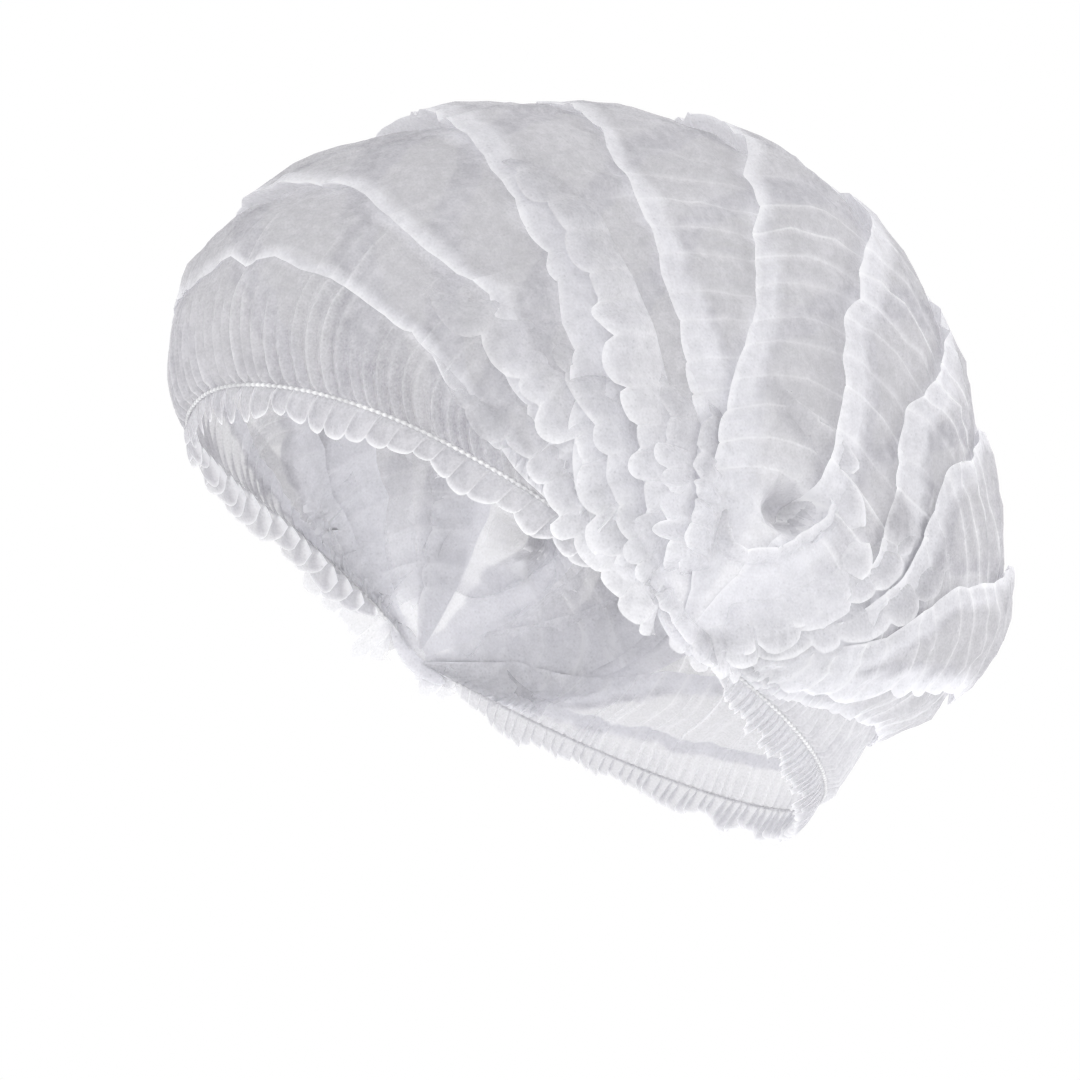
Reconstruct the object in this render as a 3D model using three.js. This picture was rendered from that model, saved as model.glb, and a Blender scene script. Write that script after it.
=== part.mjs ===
// Disposable hair cover cap: a pleated nonwoven strip cap in the form it has on a head.
// Millimetres, +Z up. The wearer looks along -Y, +X is the wearer's left.
// The origin is the top of the head inside the crown.
import * as THREE from "three";

// ---- main sizes ----
const clothWall = 1.6; // stands for 0.1 mm of nonwoven
const pieceGap = 0.35; // clear space between neighbouring pieces
const earX = 80; // gathered ends, left and right of the middle
const earY = 4.5;
const earZ = -139;
const endRadius = 3.2; // how far the crown stops from each ear point
const foldHeight = 3.4; // step of an accordion pleat
const puckerHeight = 1.5; // gathers that the elastic draws into the cloth
const puckerCount = 11; // from the middle to one ear
const puffHeight = 5; // bulk of the stacked pleats round each ear point
const elasticWidth = 1.7;
const ruffleDepth = { front: 10, back: 8.5 };
const ruffleWave = { front: 1.9, back: 1.5 };
const ruffleCount = { front: 30, back: 26 };
const weld = { length: 24, width: 6.4, thick: 3.2, lean: 138, away: 3.1 };

// Mid-line of the cap from the front edge over the top to the nape.
const middleLine = [
  { y: -94, z: -71 },
  { y: -98, z: -55 },
  { y: -93, z: -33 },
  { y: -77, z: -18 },
  { y: -46, z: 0 },
  { y: -12, z: 10 },
  { y: 28, z: 11.5 },
  { y: 64, z: 6 },
  { y: 97, z: -14 },
  { y: 120, z: -45 },
  { y: 134, z: -77 },
  { y: 140, z: -112 },
  { y: 136, z: -133 },
  { y: 117, z: -156 },
  { y: 98, z: -166 },
  { y: 86, z: -183 },
];

// How square the cap is from ear to ear, along the way from front to nape.
const squareness = [
  { across: 0, power: 2.0 },
  { across: 0.1, power: 2.15 },
  { across: 0.4, power: 2.4 },
  { across: 0.75, power: 2.65 },
  { across: 0.9, power: 2.4 },
  { across: 1, power: 1.8 },
];

// Angle of the front edge about the line between the ears, right ear to left ear.
const frontEdge = [
  { side: -90, angle: 120 },
  { side: -75, angle: 134 },
  { side: -60, angle: 140 },
  { side: -45, angle: 144 },
  { side: -20, angle: 147 },
  { side: 0, angle: 145.4 },
  { side: 20, angle: 143.5 },
  { side: 45, angle: 140 },
  { side: 60, angle: 137 },
  { side: 75, angle: 131 },
  { side: 90, angle: 118 },
];

const backEdge = [
  { side: -90, angle: -24 },
  { side: -60, angle: -27 },
  { side: 0, angle: -28.3 },
  { side: 60, angle: -27 },
  { side: 90, angle: -24 },
];

// Accordion pleats that stand out, front to nape.
const pleats = [
  { across: 0.06, step: 0.6 },
  { across: 0.13, step: 0.8 },
  { across: 0.225, step: 1.2 },
  { across: 0.325, step: 1.0 },
  { across: 0.42, step: 1.2 },
  { across: 0.505, step: 1.1 },
  { across: 0.6, step: 1.1 },
  { across: 0.69, step: 1.0 },
  { across: 0.78, step: 0.9 },
  { across: 0.865, step: 0.8 },
  { across: 0.935, step: 0.6 },
];

const rad = Math.PI / 180;

// Smooth curve through the rows of a table.
function readTable(table, at, key, value) {
  const last = table.length - 1;
  let i = 0;
  while (i < last - 1 && table[i + 1][key] <= at) i++;
  const slope = (k) =>
    k <= 0 || k >= last
      ? 0
      : (table[k + 1][value] - table[k - 1][value]) /
        (table[k + 1][key] - table[k - 1][key]);
  const span = table[i + 1][key] - table[i][key];
  const u = Math.min(Math.max((at - table[i][key]) / span, 0), 1);
  const a = table[i][value];
  const b = table[i + 1][value];
  const edge = (b - a) / span;
  const m0 = i === 0 ? edge : slope(i);
  const m1 = i + 1 === last ? edge : slope(i + 1);
  const u2 = u * u;
  const u3 = u2 * u;
  return (
    (2 * u3 - 3 * u2 + 1) * a +
    (u3 - 2 * u2 + u) * span * m0 +
    (3 * u2 - 2 * u3) * b +
    (u3 - u2) * span * m1
  );
}

// The mid-line as an angle and a reach from the line between the ears.
const spokes = middleLine.map(({ y, z }) => ({
  angle: Math.atan2(z - earZ, y - earY) / rad,
  reach: Math.hypot(z - earZ, y - earY),
}));
const firstAngle = spokes[0].angle;
const lastAngle = spokes[spokes.length - 1].angle;
for (const spoke of spokes)
  spoke.across = (firstAngle - spoke.angle) / (firstAngle - lastAngle);

// Smooth cap: side runs -90..90 from ear to ear, across runs 0..1 from front to nape.
function capPoint(side, across) {
  const from = readTable(frontEdge, side, "side", "angle");
  const to = readTable(backEdge, side, "side", "angle");
  const angle = (from + (to - from) * across) * rad;
  const reach = readTable(spokes, Math.min(Math.max(across, 0), 1), "across", "reach");
  const near = Math.min(1, 3 * Math.cos(side * rad));
  const power = 2 + (readTable(squareness, across, "across", "power") - 2) * near;
  const c = Math.max(Math.cos(side * rad), 1e-6) ** (2 / power);
  const s = Math.abs(Math.sin(side * rad)) ** (2 / power);
  return new THREE.Vector3(
    earX * Math.sign(side) * s,
    earY + reach * c * Math.cos(angle),
    earZ + reach * c * Math.sin(angle),
  );
}

function capFrame(side, across) {
  const e = 0.4;
  const a = Math.min(Math.max(across, 0.004), 0.996);
  const sideways = capPoint(side + e, across).sub(capPoint(side - e, across)).normalize();
  const rearward = capPoint(side, a + 0.004).sub(capPoint(side, a - 0.004)).normalize();
  const outward = new THREE.Vector3().crossVectors(sideways, rearward).normalize();
  return { sideways, rearward, outward };
}

const smooth = (a, b, x) => {
  const u = Math.min(Math.max((x - a) / (b - a), 0), 1);
  return u * u * (3 - 2 * u);
};

// Outer form of the folded cloth, as a height over the smooth cap.
function clothHeight(side, across) {
  const open = Math.cos(side * rad);
  let height = 0;
  for (let i = 0; i < pleats.length; i++) {
    const start = i ? pleats[i - 1].across : 0;
    const end = pleats[i].across;
    const wander = 0.012 * Math.sin(side * 0.09 + i * 2.1);
    const u = (across - start - wander) / (end - start);
    if (u > 0 && u <= 1) height += pleats[i].step * foldHeight * ((1 - u) * (1 - u) - 0.35);
  }
  height *= 0.35 + 0.65 * smooth(0.05, 0.5, open);
  const frontPull = 1 - smooth(0.0, 0.16, across);
  const backPull = smooth(0.8, 1.0, across);
  const pull = Math.max(frontPull, backPull);
  height *= 1 - 0.8 * pull;
  height +=
    puckerHeight * (0.2 + 0.8 * pull) * Math.cos((side / 90) * puckerCount * Math.PI) * smooth(0.1, 0.4, open);
  height += puffHeight * smooth(0.05, 0.3, open) * (1 - smooth(0.35, 0.8, open)) * (1 - pull);
  height *= smooth(0.0, 0.12, open);
  return height;
}

function endSide(across) {
  const reach = readTable(spokes, across, "across", "reach");
  return Math.acos(endRadius / reach) / rad;
}

// Closed cloth sheet from a grid of points and the way its wall is thick.
function clothSheet(columns, rows, at, wall) {
  const positions = [];
  const sides = [[], []];
  for (let k = 0; k < 2; k++)
    for (let i = 0; i <= columns; i++) {
      sides[k].push([]);
      for (let j = 0; j <= rows; j++) {
        const { point, outward } = at(i / columns, j / rows);
        const p = point.clone().addScaledVector(outward, (k ? -0.5 : 0.5) * wall);
        sides[k][i].push(positions.length / 3);
        positions.push(p.x, p.y, p.z);
      }
    }
  const index = [];
  const quad = (a, b, c, d) => index.push(a, b, c, a, c, d);
  const [out, inn] = sides;
  for (let i = 0; i < columns; i++)
    for (let j = 0; j < rows; j++) {
      quad(out[i][j], out[i + 1][j], out[i + 1][j + 1], out[i][j + 1]);
      quad(inn[i][j], inn[i][j + 1], inn[i + 1][j + 1], inn[i + 1][j]);
    }
  for (let i = 0; i < columns; i++) {
    quad(out[i + 1][0], out[i][0], inn[i][0], inn[i + 1][0]);
    quad(out[i][rows], out[i + 1][rows], inn[i + 1][rows], inn[i][rows]);
  }
  for (let j = 0; j < rows; j++) {
    quad(out[0][j], out[0][j + 1], inn[0][j + 1], inn[0][j]);
    quad(out[columns][j + 1], out[columns][j], inn[columns][j], inn[columns][j + 1]);
  }
  return solid(positions, index);
}

// Closed solid with its faces turned outwards.
function solid(positions, index) {
  const corner = (k) => new THREE.Vector3().fromArray(positions, 3 * index[k]);
  let volume = 0;
  for (let k = 0; k < index.length; k += 3)
    volume += corner(k).dot(corner(k + 1).cross(corner(k + 2)));
  if (volume < 0)
    for (let k = 0; k < index.length; k += 3)
      [index[k + 1], index[k + 2]] = [index[k + 2], index[k + 1]];
  const geometry = new THREE.BufferGeometry();
  geometry.setAttribute("position", new THREE.Float32BufferAttribute(positions, 3));
  geometry.setIndex(index);
  geometry.computeVertexNormals();
  return geometry;
}

// Closed bar through a row of rings.
function bar(rings) {
  const positions = [];
  const index = [];
  const n = rings[0].length;
  for (const ring of rings) for (const p of ring) positions.push(p.x, p.y, p.z);
  const ends = [rings[0], rings[rings.length - 1]].map((ring) => {
    const mid = ring.reduce((a, p) => a.add(p), new THREE.Vector3()).divideScalar(n);
    positions.push(mid.x, mid.y, mid.z);
    return positions.length / 3 - 1;
  });
  for (let r = 0; r < rings.length - 1; r++)
    for (let k = 0; k < n; k++) {
      const a = r * n + k;
      const b = r * n + ((k + 1) % n);
      index.push(a, b, b + n, a, b + n, a + n);
    }
  const top = (rings.length - 1) * n;
  for (let k = 0; k < n; k++) {
    const l = (k + 1) % n;
    index.push(ends[0], l, k);
    index.push(ends[1], top + k, top + l);
  }
  return solid(positions, index);
}

// ---- materials ----
const nonwoven = new THREE.MeshStandardMaterial({ name: "nonwoven", color: 0xf2f2f6, roughness: 0.9, metalness: 0, side: THREE.DoubleSide });
const elastic = new THREE.MeshStandardMaterial({ name: "elastic", color: 0xf7f7f8, roughness: 0.75, metalness: 0 });
const sealed = new THREE.MeshStandardMaterial({ name: "sealed", color: 0xf6f6f8, roughness: 0.6, metalness: 0 });

const cap = new THREE.Group();
cap.name = "hair_cover_cap";

function add(name, geometry, material) {
  const mesh = new THREE.Mesh(geometry, material);
  mesh.name = name;
  cap.add(mesh);
}

// ---- crown: the pleated sheet between the two elastics ----
const edgeKeep = elasticWidth / 2 + pieceGap + 0.6;
function crownAt(u, v) {
  const limit = endSide(v);
  const side = (2 * u - 1) * limit;
  const reach = readTable(spokes, v, "across", "reach");
  const c = Math.max(Math.cos(side * rad), 0.03);
  const run = reach * c * (firstAngle - lastAngle) * rad * 0.86;
  const margin = Math.min(0.2, edgeKeep / run);
  const across = margin + v * (1 - 2 * margin);
  const point = capPoint(side, across);
  const { outward } = capFrame(side, across);
  point.addScaledVector(outward, clothHeight(side, across));
  return { point, outward };
}
add("crown", clothSheet(44, 42, crownAt, clothWall), nonwoven);

// ---- one edge: the elastic and the ruffle beyond it ----
function edgeFrame(side, which) {
  const across = which === "front" ? 0 : 1;
  const { outward, rearward } = capFrame(side, across);
  const e = 0.3;
  const along = capPoint(side + e, across).sub(capPoint(side - e, across)).normalize();
  const down = rearward.clone().multiplyScalar(which === "front" ? -1 : 1);
  down.addScaledVector(along, -down.dot(along)).normalize();
  const out = new THREE.Vector3().crossVectors(along, down).normalize();
  if (out.dot(outward) < 0) out.negate();
  return { point: capPoint(side, across), along, down, out };
}

const elasticEnd = { front: 82.5, back: 80.5 };
const ruffleEnd = { front: 79, back: 77 };

for (const which of ["front", "back"]) {
  const steps = 56;
  const rings = [];
  for (let i = 0; i <= steps; i++) {
    const side = (2 * (i / steps) - 1) * elasticEnd[which];
    const { point, along, down, out } = edgeFrame(side, which);
    const ring = [];
    for (let k = 0; k < 6; k++) {
      const a = (k / 6) * 2 * Math.PI;
      ring.push(
        point
          .clone()
          .addScaledVector(down, (elasticWidth / 2) * Math.cos(a))
          .addScaledVector(out, (elasticWidth / 2) * 0.8 * Math.sin(a)),
      );
    }
    rings.push(ring);
  }
  add("elastic_" + which, bar(rings), elastic);

  const depthOf = ruffleDepth[which];
  const columns = which === "front" ? 90 : 78;
  const ruffle = (u, v) => {
    const side = (2 * u - 1) * ruffleEnd[which];
    const { point, down, out } = edgeFrame(side, which);
    const ends = smooth(0, 0.06, Math.min(u, 1 - u));
    const first = elasticWidth / 2 + pieceGap + 0.1;
    const depth = first + v * (depthOf * (0.45 + 0.55 * ends) - first);
    const wave = ruffleWave[which] * v * Math.sin(2 * u * ruffleCount[which] * Math.PI) * ends;
    const flare = which === "front" ? 0.12 : 0.05;
    return {
      point: point.addScaledVector(down, depth).addScaledVector(out, wave + depth * flare),
      outward: out,
    };
  };
  add("ruffle_" + which, clothSheet(columns, 2, ruffle, 1.2), nonwoven);
}

// ---- welded ends: the stacked pleats sealed into a flat tab at each ear ----
for (const [name, hand] of [["left", 1], ["right", -1]]) {
  const lean = weld.lean * rad;
  const along = new THREE.Vector3(0, Math.cos(lean), Math.sin(lean));
  const wide = new THREE.Vector3(0, -along.z, along.y);
  const out = new THREE.Vector3(hand, 0, 0);
  const middle = new THREE.Vector3(hand * (earX - 0.4), earY, earZ).addScaledVector(wide, weld.away);
  const rings = [];
  const steps = 12;
  for (let i = 0; i <= steps; i++) {
    const u = (2 * i) / steps - 1;
    const body = Math.sqrt(Math.max(0.06, 1 - u ** 4));
    const crimp = 0.88 + 0.12 * Math.cos(i * Math.PI);
    const ring = [];
    for (let k = 0; k < 14; k++) {
      const a = (k / 14) * 2 * Math.PI;
      ring.push(
        middle
          .clone()
          .addScaledVector(along, (u * weld.length) / 2)
          .addScaledVector(wide, (weld.width / 2) * body * Math.cos(a))
          .addScaledVector(out, (weld.thick / 2) * body * crimp * Math.sin(a)),
      );
    }
    rings.push(ring);
  }
  add("end_weld_" + name, bar(rings), sealed);
}

export default cap;
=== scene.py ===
import bpy
import math
import numpy as np
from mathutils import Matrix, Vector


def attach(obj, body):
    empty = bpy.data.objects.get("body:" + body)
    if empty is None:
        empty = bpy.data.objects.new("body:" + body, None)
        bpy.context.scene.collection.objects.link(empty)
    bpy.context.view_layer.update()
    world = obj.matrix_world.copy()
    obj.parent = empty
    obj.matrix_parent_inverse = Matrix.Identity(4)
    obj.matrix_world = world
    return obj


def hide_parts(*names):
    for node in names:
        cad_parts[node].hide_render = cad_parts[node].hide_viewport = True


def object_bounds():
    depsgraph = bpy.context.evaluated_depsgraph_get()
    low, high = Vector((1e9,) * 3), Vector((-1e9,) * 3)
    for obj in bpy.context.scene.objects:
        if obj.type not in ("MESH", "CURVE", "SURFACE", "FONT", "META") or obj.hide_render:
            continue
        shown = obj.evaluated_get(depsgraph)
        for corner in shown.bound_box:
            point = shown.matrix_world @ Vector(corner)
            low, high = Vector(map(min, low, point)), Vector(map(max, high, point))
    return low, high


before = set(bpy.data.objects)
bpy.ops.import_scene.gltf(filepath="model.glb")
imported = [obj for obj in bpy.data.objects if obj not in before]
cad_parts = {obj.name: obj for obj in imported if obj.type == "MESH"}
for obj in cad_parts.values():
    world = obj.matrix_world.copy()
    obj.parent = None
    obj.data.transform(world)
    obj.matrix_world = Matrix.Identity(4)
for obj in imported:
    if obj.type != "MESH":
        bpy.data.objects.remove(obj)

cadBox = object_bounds()
print("frame loaded, the CAD box is", cadBox)

# ---------- the form of the cap as it is worn, in millimetres ----------
capForm = {
    "earX": 80.0, "earY": 4.5, "earZ": -139.0,   # where the pleats are gathered
    "middleLine": ((-94, -71), (-98, -55), (-93, -33), (-77, -18), (-46, 0), (-12, 10), (28, 11.5), (64, 6),
                   (97, -14), (120, -45), (134, -77), (140, -112), (136, -133), (117, -156), (98, -166),
                   (86, -183)),
    "squareAcross": (0, 0.1, 0.4, 0.75, 0.9, 1),
    "squareness": (2.0, 2.15, 2.4, 2.65, 2.4, 1.8),
    "frontSides": (-90, -75, -60, -45, -20, 0, 20, 45, 60, 75, 90),
    "frontAngles": (120, 134, 140, 144, 147, 145.4, 143.5, 140, 137, 131, 118),
    "backSides": (-90, -60, 0, 60, 90),
    "backAngles": (-24, -27, -28.3, -27, -24),
}

crownSize = {
    "creases": 40,              # crimps from ear to ear
    "samplesPerCrease": 8,
    "panelRows": 10,
    "foldRows": 2,
    "edgeKeep": 0.4,            # room for the elastic
    "foldLift": 4.3,            # how far a fold's free edge stands up
    "slants": (0, 0, 0, 0.2, 0.6, 1.1, 2.0, 2.0, 1.6, 1.0, 0.4, 0.0),   # per panel: how its crimps lean back
    "overlapTop": 6.0,          # width of a fold over the top of the head
    "overlapEar": 15.0,         # and by the ears
    "petal": 3.6,               # scallops of a free fold edge
    "pillow": 0.75,             # puff between two crimps
    "ridge": 0.8,               # height of a crimp
    "gather": 3.2,              # puckers by the elastic
    "dent": 6.5,                # slow dents and swells
    "crumple": 2.0,             # sharp small ridges of crushed cloth
    "puff": 1.5,                # bulk of the stacked pleats
    "sink": 2.6,                # the folds' mean height, taken off again
    "overhangFront": 0.02,      # cloth that hangs over the elastics by the ears
    "meanReach": 145.0,         # from the ear line to the cloth, to turn widths into shares
    "widestFold": 0.17,         # as a share of the way from front to nape
    "stripLength": 533.0,       # the flat strip
    "panelCloth": 36.0,         # cloth in a panel and in a fold, for the UV map
    "foldCloth": 12.0,
    "pocket": {"side": 75.4, "across": 0.545, "radius": 8.0, "deep": 8.5, "lip": 2.6, "squash": 1.35},
    "thinPatches": ((75.4, 0.545, 7.5), (66.0, 0.66, 9.0)),   # side, across, radius: less dense there
}

# across: place from front to nape; faces: 1 where the free edge looks forward; step: size;
# draw: how far the fold runs to the front by the ear, or to the nape where it is negative
pleats = (
    {"across": 0.06, "faces": 1, "step": 0.5, "draw": 1.0, "wide": 0.5, "petal": 0.5},
    {"across": 0.135, "faces": 1, "step": 0.9, "draw": 0.9, "wide": 0.9, "petal": 1.0},
    {"across": 0.23, "faces": 1, "step": 1.3, "draw": 1.0, "wide": 1.5, "petal": 1.25},
    {"across": 0.315, "faces": 1, "step": 0.9, "draw": -0.09, "wide": 1.1, "petal": 0.35},
    {"across": 0.42, "faces": 1, "step": 1.1, "draw": 0.14, "wide": 1.2, "petal": 0.3},
    {"across": 0.505, "faces": 1, "step": 1.1, "draw": -0.22, "wide": 1.2, "petal": 0.3},
    {"across": 0.6, "faces": 1, "step": 1.1, "draw": -0.62, "wide": 1.1, "petal": 0.35},
    {"across": 0.69, "faces": 1, "step": 0.9, "draw": -0.6, "wide": 1.1, "petal": 0.35},
    {"across": 0.78, "faces": 1, "step": 0.8, "draw": -0.55, "wide": 0.9, "petal": 0.35},
    {"across": 0.865, "faces": -1, "step": 0.7, "draw": -0.4, "wide": 0.9, "petal": 0.5},
    {"across": 0.935, "faces": -1, "step": 0.5, "draw": -0.3, "wide": 0.6, "petal": 0.4},
)

# the stacked pleats that fan out of each ear; path: side angle and place from front to nape,
# rise: how far the layer stands off, petal: size of its scallops, pitch: their spacing,
# toward: what the free edge faces, else the front edge
earLayers = (
    {"path": ((47, 0.05), (56, 0.04), (65, 0.02), (74, -0.05), (81, -0.16), (86.5, -0.38)),
     "wide": 9, "rise": 4.6, "petal": 5.5, "pitch": 11.0, "veil": 0.25},
    {"path": ((37, 0.098), (49, 0.095), (58, 0.098), (67, 0.09), (73, 0.055), (82, -0.06)),
     "wide": 12, "rise": 5.6, "petal": 6.5, "pitch": 13.5, "veil": 0.4},
    {"path": ((55, 0.15), (62, 0.142), (69, 0.125), (76, 0.08), (83, 0.0)),
     "wide": 11, "rise": 6.4, "petal": 6.0, "pitch": 13.0, "veil": 0.45},
    {"path": ((20, 0.23), (30, 0.226), (43, 0.223), (52, 0.225), (60, 0.212), (70, 0.2), (77, 0.15),
              (83, 0.06)),
     "wide": 13, "rise": 7.2, "petal": 6.0, "pitch": 12.5, "veil": 0.4},
    {"path": ((63, 0.275), (69, 0.262), (75, 0.235), (79, 0.2), (84, 0.12)),
     "wide": 10, "rise": 7.0, "petal": 5.0, "pitch": 12.5, "veil": 0.35},
    {"path": ((67, 0.34), (72, 0.33), (76, 0.315), (80, 0.28), (84.5, 0.22)),
     "wide": 9, "rise": 6.4, "petal": 4.0, "pitch": 9.0, "veil": 0.3},
    {"path": ((61, 0.39), (66.5, 0.465), (67.5, 0.56), (69.5, 0.62), (72, 0.71), (78, 0.78), (84, 0.8)),
     "toward": (50, 0.62), "wide": 10, "rise": 5.0, "petal": 1.6, "pitch": 18.0, "veil": 0.25},
    {"path": ((48, 0.73), (63, 0.775), (74, 0.825), (80, 0.87), (84, 0.95)), "toward": (70, 1.1),
     "wide": 11, "rise": 5.0, "petal": 3.5, "pitch": 17.0, "veil": 0.4},
    {"path": ((55, 0.67), (66, 0.715), (75, 0.765), (81, 0.82), (84.5, 0.9)), "toward": (70, 1.1),
     "wide": 11, "rise": 5.8, "petal": 3.5, "pitch": 16.0, "veil": 0.35},
    {"path": ((66, 0.93), (73, 0.945), (79, 0.975), (84, 1.06), (87, 1.3)), "toward": (70, 1.2),
     "wide": 8, "rise": 3.4, "petal": 4.0, "pitch": 9.0, "veil": 0.25},
    {"corner": True, "path": ((1.5, 0), (0.6, 0), (-0.4, 0), (-1.5, 0)),
     "wide": 5, "rise": 2.6, "petal": 5.0, "pitch": 8.5, "veil": 0.35},
    {"corner": True, "path": ((-1.3, 0), (-0.5, 0), (0.5, 0), (1.3, 0)),
     "wide": 6, "rise": 4.0, "petal": 3.0, "pitch": 9.5, "veil": 0.3},
    {"path": ((75.2, 0.41), (77.2, 0.385), (79.4, 0.385), (81.0, 0.43), (80.8, 0.51), (78.6, 0.573),
              (76.0, 0.6), (73.0, 0.595), (71.2, 0.56)),
     "toward": (76.6, 0.5), "wide": 4, "rise": 5.5, "petal": 1.2, "pitch": 15.0, "veil": 0.05},
)

endTab = {"arm": 12.0, "width": 5.0, "thick": 1.5, "frontAngle": 122.0, "backAngle": -28.0,
          "leaves": 4, "bow": 0.6, "softness": 0.12}

mm = 0.001
random = np.random.default_rng(21)


def smoothTable(xs, ys, at):
    xs = np.asarray(xs, float)
    ys = np.asarray(ys, float)
    at = np.clip(np.asarray(at, float), xs[0], xs[-1])
    slopes = np.gradient(ys, xs)
    slopes[1:-1] = (ys[2:] - ys[:-2]) / (xs[2:] - xs[:-2])
    i = np.clip(np.searchsorted(xs, at, side="right") - 1, 0, len(xs) - 2)
    span = xs[i + 1] - xs[i]
    u = (at - xs[i]) / span
    u2, u3 = u * u, u * u * u
    return ((2 * u3 - 3 * u2 + 1) * ys[i] + (u3 - 2 * u2 + u) * span * slopes[i]
            + (3 * u2 - 2 * u3) * ys[i + 1] + (u3 - u2) * span * slopes[i + 1])


def ease(low, high, x):
    u = np.clip((x - low) / (high - low), 0, 1)
    return u * u * (3 - 2 * u)


earY, earZ = capForm["earY"], capForm["earZ"]
line = np.array(capForm["middleLine"], float)
spokeAngles = np.degrees(np.arctan2(line[:, 1] - earZ, line[:, 0] - earY))
spokeReach = np.hypot(line[:, 0] - earY, line[:, 1] - earZ)
firstAngle, lastAngle = spokeAngles[0], spokeAngles[-1]
spokeAcross = (firstAngle - spokeAngles) / (firstAngle - lastAngle)


def capPoint(side, across):
    side, across = np.broadcast_arrays(np.asarray(side, float), np.asarray(across, float))
    start = smoothTable(capForm["frontSides"], capForm["frontAngles"], side)
    end = smoothTable(capForm["backSides"], capForm["backAngles"], side)
    angle = np.radians(start + (end - start) * across)
    reach = smoothTable(spokeAcross, spokeReach, across)
    cosine = np.maximum(np.cos(np.radians(side)), 1e-6)
    near = np.minimum(1, 3 * cosine)
    power = 2 + (smoothTable(capForm["squareAcross"], capForm["squareness"], across) - 2) * near
    c = cosine ** (2 / power)
    s = np.abs(np.sin(np.radians(side))) ** (2 / power)
    return np.stack([capForm["earX"] * np.sign(side) * s,
                     earY + reach * c * np.cos(angle),
                     earZ + reach * c * np.sin(angle)], -1)


def unit(v):
    return v / np.maximum(np.linalg.norm(v, axis=-1, keepdims=True), 1e-9)


def capFrame(side, across):
    a = np.clip(across, 0.004, 0.996)
    sideways = unit(capPoint(side + 0.4, across) - capPoint(side - 0.4, across))
    rearward = unit(capPoint(side, a + 0.004) - capPoint(side, a - 0.004))
    outward = unit(np.cross(sideways, rearward))
    return sideways, rearward, outward


def sideTable(across, limit):
    # side angles that are evenly spaced along the cloth
    angles = np.linspace(-limit, limit, 721)
    points = capPoint(angles, np.full_like(angles, across))
    steps = np.linalg.norm(np.diff(points, axis=0), axis=1)
    length = np.concatenate([[0], np.cumsum(steps)])
    return length / length[-1] * 2 - 1, angles, length[-1]


def waves(count, lowest, highest):
    # a few sine waves whose sum wanders slowly
    return [(random.uniform(lowest, highest), random.uniform(0, 2 * math.pi), random.uniform(0.5, 1.0))
            for _ in range(count)]


def wander(parts, x):
    total = sum(size * np.sin(rate * x + turn) for rate, turn, size in parts)
    return total / sum(size for _, _, size in parts)


def makeSheet(name, points, faces, uvs, marks):
    mesh = bpy.data.meshes.new(name)
    mesh.from_pydata((points * mm).tolist(), [], faces)
    mesh.update()
    layer = mesh.uv_layers.new(name="cloth")
    loops = np.empty(len(mesh.loops), dtype=np.int32)
    mesh.loops.foreach_get("vertex_index", loops)
    layer.data.foreach_set("uv", uvs[loops].astype(np.float32).ravel())
    for mark, values in marks.items():
        attribute = mesh.attributes.new(mark, "FLOAT", "POINT")
        attribute.data.foreach_set("value", values.astype(np.float32).ravel())
    piece = bpy.data.objects.new(name, mesh)
    bpy.context.scene.collection.objects.link(piece)
    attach(piece, "root")
    return piece


def gridFaces(columns, rows):
    i, j = np.meshgrid(np.arange(columns - 1), np.arange(rows - 1), indexing="ij")
    a = (i * rows + j).ravel()
    return np.stack([a, a + rows, a + rows + 1, a + 1], -1).tolist()


def smoothByAngle(piece, degrees):
    bpy.ops.object.select_all(action="DESELECT")
    piece.select_set(True)
    bpy.context.view_layer.objects.active = piece
    bpy.ops.object.shade_smooth_by_angle(angle=math.radians(degrees))


def faceOutward(piece):
    bpy.ops.object.select_all(action="DESELECT")
    piece.select_set(True)
    bpy.context.view_layer.objects.active = piece
    bpy.ops.object.mode_set(mode="EDIT")
    bpy.ops.mesh.select_all(action="SELECT")
    bpy.ops.mesh.normals_make_consistent(inside=False)
    bpy.ops.object.mode_set(mode="OBJECT")


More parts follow.
